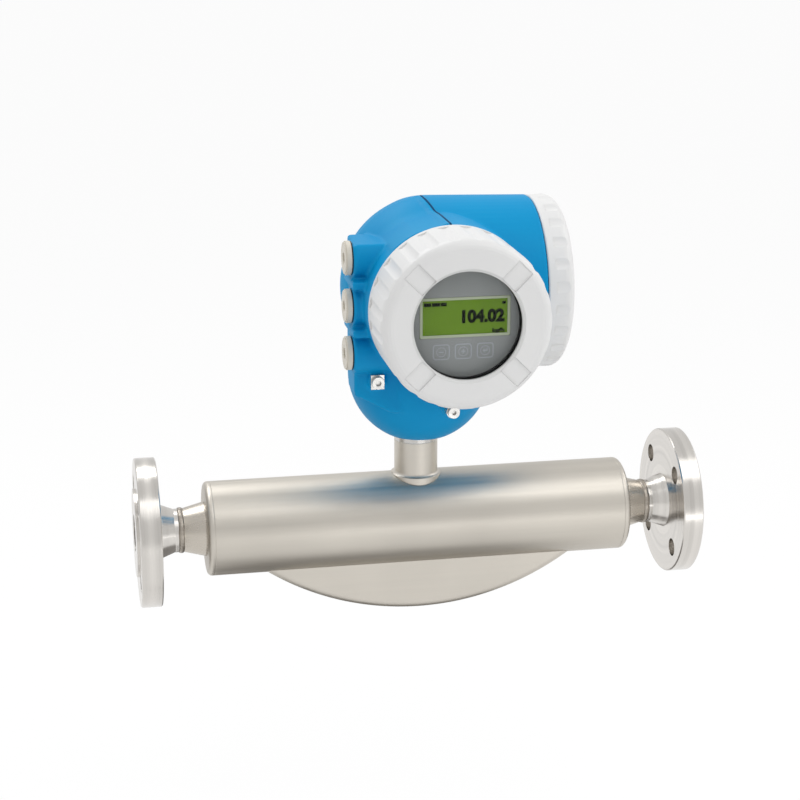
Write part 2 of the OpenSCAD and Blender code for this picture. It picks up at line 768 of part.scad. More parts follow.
module entry_plug(i) color("linen") at_head()
    translate([-entry_reach - plug_seal_t, -entry_y, entry_z + i * entry_pitch]) rotate([0, -90, 0])
        difference() {
            union() {
                cylinder(r = plug_head_r - 1, h = plug_head_t);
                cylinder(r = plug_head_r, h = plug_head_t - 1);
                translate([0, 0, -plug_shank]) cylinder(r = entry_r - fit_gap, h = plug_shank + 1);
            }
            translate([0, 0, plug_head_t - 3]) hex_hole(8, 4);
            translate([0, 0, -plug_shank - 1]) cylinder(r = entry_r - 2.5, h = plug_shank - 1);
        }

module entry_plug_seals() color("black") at_head() for (i = [-1, 0, 1])
    translate([-entry_reach, -entry_y, entry_z + i * entry_pitch]) rotate([0, -90, 0])
        ring(plug_head_r - 0.4, entry_r + fit_gap, plug_seal_t);

// The screw that takes an earth wire, with its saddle clamp
module ground_terminal() color("silver") at_head() translate([ground_x, -ground_y, ground_z])
    rotate([90, 0, 0]) difference() {
        union() {
            translate([0, 0, -10]) cylinder(r = screw_r, h = 12);
            translate([-5, -5.5, 0]) cube([10, 11, 2]);
            translate([0, 0, 1.9]) cylinder(r = 4.6, h = 3.6);
        }
        translate([0, 0, 3]) hex_hole(4, 4);
    }

// ---- Cover locks ----

// A claw that bears on a cover's rim and swings round its screw
module lock_claw(reach, rim_r) color("silver") translate([0, -rim_r - lock_arm, reach + seat_gap])
    difference() {
        union() {
            cylinder(r = lock_r, h = lock_t);
            translate([-2.5, 0, 0]) cube([5, lock_arm - 0.5, lock_t]);
        }
        translate([0, 0, -1]) cylinder(r = lock_screw_r + swivel_gap, h = lock_t + 2);
    }

module lock_screw(reach, rim_r) color("dimgray") translate([0, -rim_r - lock_arm, reach])
    difference() {
        union() {
            translate([0, 0, -12]) cylinder(r = lock_screw_r, h = 13 + 2 * seat_gap + lock_t);
            translate([0, 0, 2 * seat_gap + lock_t]) cylinder(r = 4.2, h = 3.2);
        }
        translate([0, 0, 2 * seat_gap + lock_t + 0.8]) hex_hole(3, 4);
    }

module display_cover_lock() out_front() lock_claw(front_reach, front_cover_r);
module display_lock_screw() out_front() lock_screw(front_reach, front_cover_r);
module electronics_cover_lock() out_side() rotate(side_lock_angle)
    lock_claw(side_reach, side_cover_r);
module electronics_lock_screw() out_side() rotate(side_lock_angle)
    lock_screw(side_reach, side_cover_r);

// ---- Covers ----

// Grip flutes and tool notches of a cover of radius r and length len
module grips(r, len) {
    for (i = [0 : flutes - 1]) rotate((i + 0.5) * 360 / flutes)
        translate([r + flute_r - flute_depth, 0, rim_h]) cylinder(r = flute_r, h = len);
    for (i = [0 : 3]) rotate(45 + i * 90) translate([window_r + 1, -notch_w / 2, len - notch_depth])
        cube([notch_reach - window_r - 1, notch_w, notch_depth + 1]);
}

// The outline from a cover's side, over its crown, to its flat face
function crown(r, face_r, len, drop) =
    [for (i = [0 : 6]) [face_r + (r - face_r) * cos(i * 15), len - drop + drop * sin(i * 15)]];

// The skirt that screws into a mouth of radius bore, and the rim that closes on it
function cover_foot(r, bore) = [
    [bore - thread_gap - skirt_wall, -skirt_len], [bore - thread_gap, -skirt_len],
    [bore - thread_gap, seat_gap], [r - 0.8, seat_gap], [r, seat_gap + 0.8]
];

module seal_groove(bore) ring(bore, bore - 2 * seal_cord_r - 0.25, 2 * seal_cord_r + 0.2,
    -seal_depth - seal_cord_r - 0.1);

module cover_seal(bore) color("black") torus(bore - 0.1 - seal_cord_r, seal_cord_r, -seal_depth);

module display_cover() color("whitesmoke") out_front() translate([0, 0, front_reach]) difference() {
    rotate_extrude() polygon(concat(
        cover_foot(front_cover_r, front_bore_r),
        crown(front_cover_r, face_ring_r, front_cover_len, cover_slope),
        [
            [window_r + 2, front_cover_len], [window_r, front_cover_len - 2],
            [window_r, front_cover_len - cover_face_t],
            [pocket_r, front_cover_len - cover_face_t],
            [pocket_r, front_cover_len - cover_face_t - pocket_t],
            [front_cover_r - cover_wall, front_cover_len - cover_face_t - pocket_t],
            [front_cover_r - cover_wall, cover_wall],
            [front_bore_r - thread_gap - skirt_wall, cover_wall]
        ]
    ));
    grips(front_cover_r, front_cover_len);
    seal_groove(front_bore_r);
}

module electronics_cover() color("whitesmoke") out_side() translate([0, 0, side_reach]) difference() {
    rotate_extrude() polygon(concat(
        cover_foot(side_cover_r, side_bore_r),
        crown(side_cover_r, face_ring_r, side_cover_len, cover_slope),
        [
            [0, side_cover_len], [0, side_cover_len - cover_wall],
            [side_cover_r - cover_wall - cover_slope / 2, side_cover_len - cover_wall],
            [side_cover_r - cover_wall, side_cover_len - cover_wall - cover_slope / 2],
            [side_cover_r - cover_wall, cover_wall],
            [side_bore_r - thread_gap - skirt_wall, cover_wall]
        ]
    ));
    grips(side_cover_r, side_cover_len);
    seal_groove(side_bore_r);
}

module display_cover_seal() out_front() translate([0, 0, front_reach]) cover_seal(front_bore_r);
module electronics_cover_seal() out_side() translate([0, 0, side_reach]) cover_seal(side_bore_r);

// Places children behind the face of the display cover
module in_window() out_front() translate([0, 0, window_face - cover_face_t]) children();

module window_gasket() color("black") in_window()
    ring(pocket_r - fit_gap, window_r, gasket_t, -gasket_t);

module window_glass() color("lightcyan", 0.4) in_window() translate([0, 0, -gasket_t - glass_t])
    cylinder(r = pocket_r - fit_gap, h = glass_t);

module window_ring() color("black") in_window()
    ring(pocket_r - fit_gap, window_r, window_ring_t, -pocket_t);

// ---- Display ----

module display_bezel() color("gray") out_front() translate([0, 0, display_front - bezel_t])
    difference() {
        cylinder(r = display_r, h = bezel_t);
        translate([-lcd_w / 2, lcd_rise - lcd_h / 2, -1]) cube([lcd_w, lcd_h, bezel_t + 2]);
    }

module display_panel() color("olivedrab") out_front()
    translate([-lcd_w / 2 + fit_gap, lcd_rise - lcd_h / 2 + fit_gap, display_front - bezel_t])
        cube([lcd_w - 2 * fit_gap, lcd_h - 2 * fit_gap, bezel_t - panel_sink]);

module display_board() color("darkgreen") out_front()
    translate([0, 0, display_front - bezel_t - board_t]) cylinder(r = display_r - 2, h = board_t);

module display_case() color("dimgray") out_front() translate([0, 0, display_back]) difference() {
    cylinder(r = display_r - 1, h = display_len - bezel_t - board_t);
    translate([0, 0, 2]) cylinder(r = display_r - 3.5, h = display_len);
}

end_flange(-1);  // inlet_flange
end_flange(1);  // outlet_flange
manifold(-1);  // inlet_manifold
manifold(1);  // outlet_manifold
end_cap(-1);  // inlet_end_cap
end_cap(1);  // outlet_end_cap
casing_tube();
casing_belly();
measuring_tube(-1);  // front_measuring_tube
measuring_tube(1);  // rear_measuring_tube
brace_plates(-1);  // inlet_brace_plates
brace_plates(1);  // outlet_brace_plates
coil(0);  // exciter_coil
magnet(0);  // exciter_magnet
coil(-pickup_angle);  // inlet_pickup_coil
magnet(-pickup_angle);  // inlet_pickup_magnet
coil(pickup_angle);  // outlet_pickup_coil
magnet(pickup_angle);  // outlet_pickup_magnet
tube_temperature_sensor();
signal_strip();
neck_tube();
feedthrough();
swivel_spigot();
swivel_seal();
swivel_circlip();
sensor_cable();
transmitter_housing();
housing_fixing_screw();
sensor_module();
electronics_carrier();
main_board();
signal_board();
power_board();
terminal_board();
power_terminals();
signal_terminals();
display_holder();
entry_plug(1);  // upper_entry_plug
entry_plug(0);  // middle_entry_plug
entry_plug(-1);  // lower_entry_plug
entry_plug_seals();
ground_terminal();
display_cover_lock();
display_lock_screw();
electronics_cover_lock();
electronics_lock_screw();
display_cover();
window_glass();
window_gasket();
window_ring();
display_cover_seal();
electronics_cover();
electronics_cover_seal();
display_bezel();
display_panel();
display_board();
display_case();
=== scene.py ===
import math

import bmesh
import bpy
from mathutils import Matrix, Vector
from mathutils.bvhtree import BVHTree


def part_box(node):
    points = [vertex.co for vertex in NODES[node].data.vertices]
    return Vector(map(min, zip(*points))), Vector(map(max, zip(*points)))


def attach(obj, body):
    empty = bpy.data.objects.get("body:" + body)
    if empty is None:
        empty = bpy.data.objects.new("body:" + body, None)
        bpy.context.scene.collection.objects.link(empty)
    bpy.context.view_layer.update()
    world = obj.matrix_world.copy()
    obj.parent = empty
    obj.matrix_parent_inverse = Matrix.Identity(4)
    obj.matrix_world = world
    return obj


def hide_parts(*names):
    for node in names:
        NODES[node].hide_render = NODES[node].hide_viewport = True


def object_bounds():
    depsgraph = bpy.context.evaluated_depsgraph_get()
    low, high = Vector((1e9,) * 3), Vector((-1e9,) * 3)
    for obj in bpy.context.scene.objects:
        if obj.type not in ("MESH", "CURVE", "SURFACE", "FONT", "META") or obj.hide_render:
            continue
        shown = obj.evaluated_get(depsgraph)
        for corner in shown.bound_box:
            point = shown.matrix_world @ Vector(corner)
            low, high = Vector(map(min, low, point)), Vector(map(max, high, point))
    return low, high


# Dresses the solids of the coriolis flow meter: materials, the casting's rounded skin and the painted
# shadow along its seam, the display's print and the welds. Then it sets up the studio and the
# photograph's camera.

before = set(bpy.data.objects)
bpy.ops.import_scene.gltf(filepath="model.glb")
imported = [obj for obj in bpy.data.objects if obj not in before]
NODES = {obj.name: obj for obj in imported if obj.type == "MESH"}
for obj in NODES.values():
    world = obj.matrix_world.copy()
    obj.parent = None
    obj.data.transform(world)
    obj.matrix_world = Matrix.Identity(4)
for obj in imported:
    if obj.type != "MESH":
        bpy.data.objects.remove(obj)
CAD_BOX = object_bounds()
MM = 0.001

# Places worked out from the frame, in metres
BEZEL_LOW, BEZEL_HIGH = (Vector(corner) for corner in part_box("display_bezel"))
PANEL_LOW, PANEL_HIGH = (Vector(corner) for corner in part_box("display_panel"))
MID_X = (CAD_BOX[0][0] + CAD_BOX[1][0]) / 2  # the neck's axis
FRONT_X = (BEZEL_LOW.x + BEZEL_HIGH.x) / 2  # the display compartment's axis
AXIS_Z = (BEZEL_LOW.z + BEZEL_HIGH.z) / 2
PLATE_OUT = -BEZEL_LOW.y  # front of the display's face, before the neck
PANEL_OUT = -PANEL_LOW.y  # front of the green panel
PIPE_R = 0.01685  # outside of the pipe at the welds
INLET_WELD_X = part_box("inlet_flange")[1][0]  # where the flanges meet the manifolds
OUTLET_WELD_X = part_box("outlet_flange")[0][0]

# The welds between the pipes, in millimetres
WELD_WIDTH = 4.6
WELD_HEIGHT = 0.9
WELD_SUNK = 0.15  # how deep the bead's edges lie in the pipe
WELD_RIPPLE = 0.16
WELD_WANDER = 0.12
WELD_PASSES = 34  # ripples round the pipe

# The studio
TENT_FRONT = 0.77  # the tent's level before the object
TENT_BACK = 0.8  # and behind it
FLOOR_Z = -0.30
FLOOR_REACH = 30  # half of its side
FLOOR_WHITE = 0.88  # share of plain white in what the camera, metal and glass see of the floor
CARD_Z = -0.295
CARD_LEFT, CARD_RIGHT = 0.05, 0.39
CARD_FRONT, CARD_BACK = -0.14, 0.45
LIGHT_TARGET = (MID_X, 0, 0.08)

# The camera, fitted to the photograph
CAMERA_PLACE = (-0.0580, -1.3902, 0.5044)
CAMERA_DOWN = 16.13  # degrees below the level
CAMERA_RIGHT = 10.81  # degrees from +Y towards +X
CAMERA_LENS = 85.725  # mm, on a sensor 36 mm wide


# ---- Materials ----

def new_material(name):
    """A material with one Principled shader, given as (material, node tree, shader)."""
    m = bpy.data.materials.new(name)
    m.use_nodes = True
    tree = m.node_tree
    tree.nodes.clear()
    out = tree.nodes.new("ShaderNodeOutputMaterial")
    bsdf = tree.nodes.new("ShaderNodeBsdfPrincipled")
    tree.links.new(bsdf.outputs[0], out.inputs[0])
    return m, tree, bsdf


def node(tree, kind, **values):
    """A new shader node with the given settings or inputs."""
    n = tree.nodes.new("ShaderNode" + kind)
    for key, value in values.items():
        if hasattr(n, key):
            setattr(n, key, value)
        else:
            n.inputs[key.replace("_", " ")].default_value = value
    return n


def link(tree, a, b):
    tree.links.new(a, b)


def material_output(tree):
    return next(n for n in tree.nodes if n.bl_idname == "ShaderNodeOutputMaterial")


def object_coords(tree):
    return node(tree, "TexCoord").outputs["Object"]


def noise(tree, coords, scale, detail=3.0):
    n = node(tree, "TexNoise")
    n.inputs["Scale"].default_value = scale
    n.inputs["Detail"].default_value = detail
    link(tree, coords, n.inputs["Vector"])
    return n.outputs["Fac"]


def remap(tree, fac, low, high):
    """Spreads a noise, which stays near its middle, over low to high."""
    n = node(tree, "MapRange")
    n.inputs["From Min"].default_value = 0.3
    n.inputs["From Max"].default_value = 0.7
    n.inputs["To Min"].default_value = low
    n.inputs["To Max"].default_value = high
    link(tree, fac, n.inputs["Value"])
    return n.outputs["Result"]


def blend_colours(tree, fac, a, b):
    n = node(tree, "Mix", data_type="RGBA")
    link(tree, fac, n.inputs["Factor"])
    n.inputs["A"].default_value = (*a, 1)
    n.inputs["B"].default_value = (*b, 1)
    return n.outputs["Result"]


def bump(tree, height, distance, normal=None):
    n = node(tree, "Bump")
    n.inputs["Distance"].default_value = distance
    link(tree, height, n.inputs["Height"])
    if normal is not None:
        link(tree, normal, n.inputs["Normal"])
    return n.outputs["Normal"]


def soft_edges(tree, radius):
    """Rounds the look of sharp edges."""
    n = node(tree, "Bevel", samples=6)
    n.inputs["Radius"].default_value = radius
    return n.outputs["Normal"]


def paint(name, colour, other, rough, edge=0.0006, coat=0.25, gloss=0.5):
    """Powder coat: an orange-peel skin with a slow drift in colour."""
    drift_scale, wear_scale, peel_scale = 14, 60, 620
    peel_depth = 0.00006
    m, t, b = new_material(name)
    co = object_coords(t)
    drift = remap(t, noise(t, co, drift_scale), 0, 1)
    link(t, blend_colours(t, drift, colour, other), b.inputs["Base Color"])
    link(t, remap(t, noise(t, co, wear_scale), rough - 0.04, rough + 0.05), b.inputs["Roughness"])
    b.inputs["Specular IOR Level"].default_value = gloss
    b.inputs["Coat Weight"].default_value = coat
    b.inputs["Coat Roughness"].default_value = 0.5
    b.inputs["Coat IOR"].default_value = 1.22
    peel = noise(t, co, peel_scale, 2.0)
    link(t, bump(t, peel, peel_depth, soft_edges(t, edge)), b.inputs["Normal"])
    return m


def plastic(name, colour, rough, grain=1500, depth=0.00002, gloss=0.5):
    """Moulded plastic, rubber or print: a fine grain of the given scale and depth."""
    drift_scale, wear_scale = 45, 120
    edge = 0.0003
    m, t, b = new_material(name)
    co = object_coords(t)
    dark = tuple(c * 0.9 for c in colour)
    drift = remap(t, noise(t, co, drift_scale), 0, 1)
    link(t, blend_colours(t, drift, colour, dark), b.inputs["Base Color"])
    link(t, remap(t, noise(t, co, wear_scale), rough - 0.05, rough + 0.06), b.inputs["Roughness"])
    b.inputs["Specular IOR Level"].default_value = gloss
    link(t, bump(t, noise(t, co, grain, 2.0), depth, soft_edges(t, edge)), b.inputs["Normal"])
    return m


def blasted(name, colour, rough):
    """Bead-blasted stainless steel, with faint drawing streaks along the pipe."""
    streak_scale, patch_scale, blast_scale = 4, 9, 1900
    blast_depth = 0.00003
    edge = 0.0008
    m, t, b = new_material(name)
    co = object_coords(t)
    stretch = node(t, "Mapping")
    stretch.inputs["Scale"].default_value = (1.2, 60, 60)
    link(t, co, stretch.inputs["Vector"])
    streaks = noise(t, stretch.outputs[0], streak_scale, 4)
    patches = noise(t, co, patch_scale)
    mixed = node(t, "Math", operation="MULTIPLY_ADD")
    link(t, streaks, mixed.inputs[0])
    mixed.inputs[1].default_value = 0.6
    link(t, patches, mixed.inputs[2])
    dark = tuple(c * 0.88 for c in colour)
    scaled = node(t, "MapRange")
    scaled.inputs["From Min"].default_value = 0.55
    scaled.inputs["From Max"].default_value = 1.05
    link(t, mixed.outputs[0], scaled.inputs["Value"])
    link(t, blend_colours(t, scaled.outputs[0], dark, colour), b.inputs["Base Color"])
    link(t, remap(t, streaks, rough - 0.04, rough + 0.05), b.inputs["Roughness"])
    b.inputs["Metallic"].default_value = 1.0
    blast = noise(t, co, blast_scale, 2.0)
    link(t, bump(t, blast, blast_depth, soft_edges(t, edge)), b.inputs["Normal"])
    return m


def turned(name, colour, rough):
    """Steel turned on a lathe round the pipe's axis: fine rings on its faces."""
    ring_scale, band_scale = 2600, 160
    ring_depth = 0.00004
    edge = 0.0004
    m, t, b = new_material(name)
    co = object_coords(t)
    parts = node(t, "SeparateXYZ")
    link(t, co, parts.inputs[0])
    flat = node(t, "CombineXYZ")
    link(t, parts.outputs["Y"], flat.inputs[0])
    link(t, parts.outputs["Z"], flat.inputs[1])
    away = node(t, "VectorMath", operation="LENGTH")
    link(t, flat.outputs[0], away.inputs[0])
    line = node(t, "CombineXYZ")
    link(t, away.outputs["Value"], line.inputs[0])
    link(t, parts.outputs["X"], line.inputs[1])
    rings = noise(t, line.outputs[0], ring_scale)
    bands = noise(t, line.outputs[0], band_scale)
    dark = tuple(c * 0.78 for c in colour)
    link(t, blend_colours(t, remap(t, bands, 0, 1), dark, colour), b.inputs["Base Color"])
    link(t, remap(t, bands, rough - 0.05, rough + 0.08), b.inputs["Roughness"])
    b.inputs["Metallic"].default_value = 1.0
    link(t, bump(t, rings, ring_depth, soft_edges(t, edge)), b.inputs["Normal"])
    return m


def metal(name, colour, rough, grain=900, depth=0.00002):
    """Plain metal with a grain of the given scale and depth."""
    drift_scale, wear_scale = 70, 200
    edge = 0.0003
    m, t, b = new_material(name)
    co = object_coords(t)
    dark = tuple(c * 0.85 for c in colour)
    drift = remap(t, noise(t, co, drift_scale), 0, 1)
    link(t, blend_colours(t, drift, dark, colour), b.inputs["Base Color"])
    link(t, remap(t, noise(t, co, wear_scale), rough - 0.05, rough + 0.07), b.inputs["Roughness"])
    b.inputs["Metallic"].default_value = 1.0
    link(t, bump(t, noise(t, co, grain, 2.0), depth, soft_edges(t, edge)), b.inputs["Normal"])
    return m


def clear_glass(name):
    """Glass that lets the room's light through to what lies behind it."""
    smear_scale = 30
    m, t, b = new_material(name)
    out = material_output(t)
    b.inputs["Base Color"].default_value = (0.97, 0.985, 0.98, 1)
    b.inputs["Transmission Weight"].default_value = 1.0
    b.inputs["IOR"].default_value = 1.2
    co = object_coords(t)
    link(t, remap(t, noise(t, co, smear_scale), 0.0, 0.03), b.inputs["Roughness"])
    through = node(t, "BsdfTransparent")
    through.inputs["Color"].default_value = (0.96, 0.97, 0.965, 1)
    path = node(t, "LightPath")
    either = node(t, "Math", operation="MAXIMUM")
    link(t, path.outputs["Is Shadow Ray"], either.inputs[0])
    link(t, path.outputs["Is Diffuse Ray"], either.inputs[1])
    mix = node(t, "MixShader")
    link(t, either.outputs[0], mix.inputs[0])
    link(t, b.outputs[0], mix.inputs[1])
    link(t, through.outputs[0], mix.inputs[2])
    link(t, mix.outputs[0], out.inputs[0])
    return m


def board_green(name):
    """A circuit board's solder mask with its tracks."""
    track_scale, wear_scale = 160, 300
    track_depth = 0.00004
    m, t, b = new_material(name)
    co = object_coords(t)
    tracks = node(t, "TexBrick")
    tracks.inputs["Scale"].default_value = track_scale
    tracks.inputs["Mortar Size"].default_value = 0.03
    tracks.inputs["Color1"].default_value = (0.015, 0.16, 0.05, 1)
    tracks.inputs["Color2"].default_value = (0.02, 0.19, 0.06, 1)
    tracks.inputs["Mortar"].default_value = (0.04, 0.28, 0.10, 1)
    link(t, co, tracks.inputs["Vector"])
    link(t, tracks.outputs["Color"], b.inputs["Base Color"])
    link(t, remap(t, noise(t, co, wear_scale), 0.3, 0.42), b.inputs["Roughness"])
    link(t, bump(t, tracks.outputs["Fac"], track_depth), b.inputs["Normal"])
    return m


BLUE = paint("blue_powder_coat", (0.0, 0.258, 0.54), (0.0, 0.278, 0.56), 0.4, coat=1.0, gloss=0.0)
# Dark blue for the tube along the shoulder's seam: painted shadow for the shaded step there
PAINTED_SEAM_SHADOW = plastic("seam_shadow_blue", (0.0, 0.06, 0.16), 0.6, gloss=0.1)
LIGHT = paint("light_powder_coat", (0.70, 0.70, 0.70), (0.73, 0.73, 0.725), 0.38, edge=0.0009)
CASING = blasted("blasted_steel", (0.64, 0.602, 0.54), 0.42)
TURNED = turned("turned_steel", (0.75, 0.72, 0.68), 0.2)
CAST = blasted("cast_steel", (0.60, 0.555, 0.49), 0.28)
TUBE = metal("tube_steel", (0.62, 0.62, 0.60), 0.22)
WELD = metal("weld_steel", (0.42, 0.38, 0.33), 0.34, grain=420, depth=0.0001)
SCREW = metal("screw_steel", (0.60, 0.59, 0.57), 0.24)
SPRING = metal("spring_steel", (0.22, 0.22, 0.23), 0.35)
MAGNET = metal("magnet_steel", (0.30, 0.30, 0.31), 0.3)
COIL = plastic("coil_enamel", (0.40, 0.16, 0.05), 0.35, grain=2600, depth=0.00008)
CERAMIC = plastic("ceramic", (0.78, 0.77, 0.72), 0.5)
FILM = plastic("flexible_film", (0.50, 0.20, 0.03), 0.3)
GLASS_SEAL = plastic("sealed_glass", (0.03, 0.06, 0.06), 0.15)
RING = plastic("black_ring", (0.012, 0.012, 0.013), 0.5)
RUBBER = plastic("black_rubber", (0.018, 0.018, 0.018), 0.6, grain=900, depth=0.00004)
DARK = plastic("dark_plastic", (0.035, 0.035, 0.038), 0.45)
TERMINAL = plastic("terminal_plastic", (0.03, 0.22, 0.07), 0.42)
PLUG = plastic("plug_plastic", (0.66, 0.62, 0.54), 0.48)
FACEPLATE = plastic("grey_faceplate", (0.26, 0.267, 0.27), 0.5)
PALE = plastic("pale_green_frame", (0.42, 0.46, 0.33), 0.45)
INK = plastic("display_ink", (0.003, 0.005, 0.002), 0.6, gloss=0.0)
KEY_LINE = plastic("key_print", (0.36, 0.37, 0.42), 0.5)
LCD = plastic("display_green", (0.135, 0.25, 0.012), 0.5, grain=4000, depth=0.000005, gloss=0.1)
WINDOW = clear_glass("window_glass_clear")
BOARD = board_green("circuit_board_green")

DRESS = {
    "inlet_flange": TURNED, "outlet_flange": TURNED,
    "inlet_manifold": CAST, "outlet_manifold": CAST,
    "inlet_end_cap": CASING, "outlet_end_cap": CASING,
    "casing_tube": CASING, "casing_belly": CASING, "neck_tube": CASING, "swivel_spigot": SCREW,
    "front_measuring_tube": TUBE, "rear_measuring_tube": TUBE,
    "inlet_brace_plates": TUBE, "outlet_brace_plates": TUBE,
    "exciter_coil": COIL, "inlet_pickup_coil": COIL, "outlet_pickup_coil": COIL,
    "exciter_magnet": MAGNET, "inlet_pickup_magnet": MAGNET, "outlet_pickup_magnet": MAGNET,
    "tube_temperature_sensor": CERAMIC, "signal_strip": FILM, "feedthrough": GLASS_SEAL,
    "swivel_seal": RUBBER, "swivel_circlip": SPRING, "sensor_cable": RUBBER,
    "transmitter_housing": BLUE, "housing_fixing_screw": SCREW,
    "sensor_module": BOARD, "main_board": BOARD, "signal_board": BOARD, "power_board": BOARD,
    "terminal_board": BOARD, "display_board": BOARD,
    "electronics_carrier": DARK, "display_holder": DARK, "display_case": DARK,
    "power_terminals": TERMINAL, "signal_terminals": TERMINAL,
    "upper_entry_plug": PLUG, "middle_entry_plug": PLUG, "lower_entry_plug": PLUG,
    "entry_plug_seals": RUBBER, "ground_terminal": SCREW,
    "display_cover_lock": SCREW, "display_lock_screw": SCREW,
    "electronics_cover_lock": SCREW, "electronics_lock_screw": SCREW,
    "display_cover": LIGHT, "electronics_cover": LIGHT,
    "window_glass": WINDOW, "window_gasket": RUBBER, "window_ring": RING,
    "display_cover_seal": RUBBER, "electronics_cover_seal": RUBBER,
    "display_bezel": FACEPLATE, "display_panel": LCD,
}


def shade(mesh, angle):
    """Smooth shading, with the edges sharper than angle kept."""
    bm = bmesh.new()
    bm.from_mesh(mesh)
    limit = math.radians(angle)
    for edge in bm.edges:
        faces = edge.link_faces
        edge.smooth = len(faces) == 2 and faces[0].normal.angle(faces[1].normal, 0) < limit
    for face in bm.faces:
        face.smooth = True
    bm.to_mesh(mesh)
    bm.free()


for name, obj in NODES.items():
    obj.data.materials.clear()
    obj.data.materials.append(DRESS[name])


# ---- Pieces ----

def piece(name, mesh, material, body):
    """A new object of the scene, in the frame's place, that rides on a body."""
    obj = bpy.data.objects.new(name, mesh)
    bpy.context.scene.collection.objects.link(obj)
    obj.data.materials.clear()
    obj.data.materials.append(material)
    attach(obj, body)
    return obj


def piece_from(bm, name, material, body):
    """A piece from a bmesh, which it frees."""
    mesh = bpy.data.meshes.new(name)
    bm.to_mesh(mesh)
    bm.free()
    return piece(name, mesh, material, body)


def front(right, up, out):
    """A point seen from the front: right of and above the display's centre, and out towards -Y."""
    return Vector((FRONT_X + right, -out, AXIS_Z + up))


def applied(obj):
    """The object's mesh with its modifiers applied."""
    graph = bpy.context.evaluated_depsgraph_get()
    return bpy.data.meshes.new_from_object(obj.evaluated_get(graph), depsgraph=graph)


def smooth_step(value, low, high):
    t = min(max((value - low) / (high - low), 0.0), 1.0)
    return t * t * (3 - 2 * t)


def cast_body(source):
    """The casting with rounded inner and outer corners. Away from its edges it lies on the solid."""
    near, far = 0.12 * MM, 0.4 * MM  # nearer points go onto the solid, and farther ones stay
    bm = bmesh.new()
    bm.from_mesh(NODES[source].data)
    bmesh.ops.remove_doubles(bm, verts=bm.verts, dist=1e-6)
    tree = BVHTree.FromBMesh(bm)
    mesh = bpy.data.meshes.new(source + "_cast")
    bm.to_mesh(mesh)
    bm.free()
    work = bpy.data.objects.new("work", mesh)
    bpy.context.scene.collection.objects.link(work)
    remesh = work.modifiers.new("remesh", "REMESH")
    remesh.mode = "VOXEL"
    remesh.voxel_size = 1.35 * MM
    remesh.adaptivity = 0
    smooth = work.modifiers.new("smooth", "SMOOTH")
    smooth.factor = 0.5
    smooth.iterations = 7
    bpy.context.view_layer.update()
    out = applied(work)
    bpy.data.objects.remove(work)
    for v in out.vertices:
        place, _, _, away = tree.find_nearest(v.co)
        v.co = place.lerp(v.co, smooth_step(away, near, far))
    for p in out.polygons:
        p.use_smooth = True
    return out


def seam_x(y):
    """The curved right-hand edge of the shoulder, which drifts right towards the front."""
    start, drift = 1.3 * MM, 6.2 * MM
    return MID_X + start + drift * smooth_step(-y, 2 * MM, 50 * MM)


def bend_shoulder(mesh):
    """Leads the straight lip along the shoulder's curved edge, in the skin above the bores."""
    skin_low, skin_high = 55.5 * MM, 57.5 * MM  # heights above the compartments' axis
    full, none = 4 * MM, 26 * MM  # distances from the lip
    for v in mesh.vertices:
        skin = smooth_step(v.co.z - AXIS_Z, skin_low, skin_high)
        near = 1 - smooth_step(abs(v.co.x - LIP_X), full, none)
        v.co.x += skin * near * (seam_x(v.co.y) - LIP_X)


def tube_along(name, points, radius, material, body):
    """A round bead through the points."""
    sides = 10
    bm = bmesh.new()
    rings = []
    for i, point in enumerate(points):
        before, after = points[max(i - 1, 0)], points[min(i + 1, len(points) - 1)]
        along = (after - before).normalized()
        side = along.cross(Vector((0, 0, 1))).normalized()
        rise = side.cross(along)
        rings.append([bm.verts.new(point + radius * (side * math.cos(a) + rise * math.sin(a)))
                      for a in (2 * math.pi * j / sides for j in range(sides))])
    for a, b in zip(rings, rings[1:]):
        for j in range(sides):
            bm.faces.new((a[j], a[(j + 1) % sides], b[(j + 1) % sides], b[j]))
    bm.faces.new(rings[0])
    bm.faces.new(rings[-1])
    bmesh.ops.recalc_face_normals(bm, faces=bm.faces)
    for face in bm.faces:
        face.smooth = len(face.verts) == 4
    return piece_from(bm, name, material, body)


# The shoulder's seam, and the tube of painted shadow along it, run from SEAM_BACK to SEAM_FRONT
# before the neck's axis
LIP_X = MID_X + 3.3 * MM  # right-hand edge of the solid's straight lip
SEAM_BACK = 4.5 * MM
SEAM_FRONT = 83 * MM
SEAM_RADIUS = 0.95 * MM
SEAM_STEPS = 59

cast = cast_body("transmitter_housing")
bend_shoulder(cast)
housing = piece("cast_housing", cast, BLUE, "transmitter")
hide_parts("transmitter_housing")

skin = bmesh.new()
skin.from_mesh(cast)
skin_tree = BVHTree.FromBMesh(skin)
skin.free()
seam = []
for i in range(SEAM_STEPS + 1):
    seam_y = -(SEAM_BACK + (SEAM_FRONT - SEAM_BACK) * i / SEAM_STEPS)
    x = seam_x(seam_y) + SEAM_RADIUS
    above = Vector((x, seam_y, CAD_BOX[1][2] + 10 * MM))
    seam.append(skin_tree.ray_cast(above, Vector((0, 0, -1)))[0])
# A dark tube along the foot of the shoulder's lip: painted shadow where the step lies in shade
tube_along("shoulder_seam_painted_shadow", seam, SEAM_RADIUS, PAINTED_SEAM_SHADOW, "transmitter")


# ---- Display ----
# Its flat pieces are drawn as (right, up) in millimetres from the display's centre. How far out
# they lie is in metres

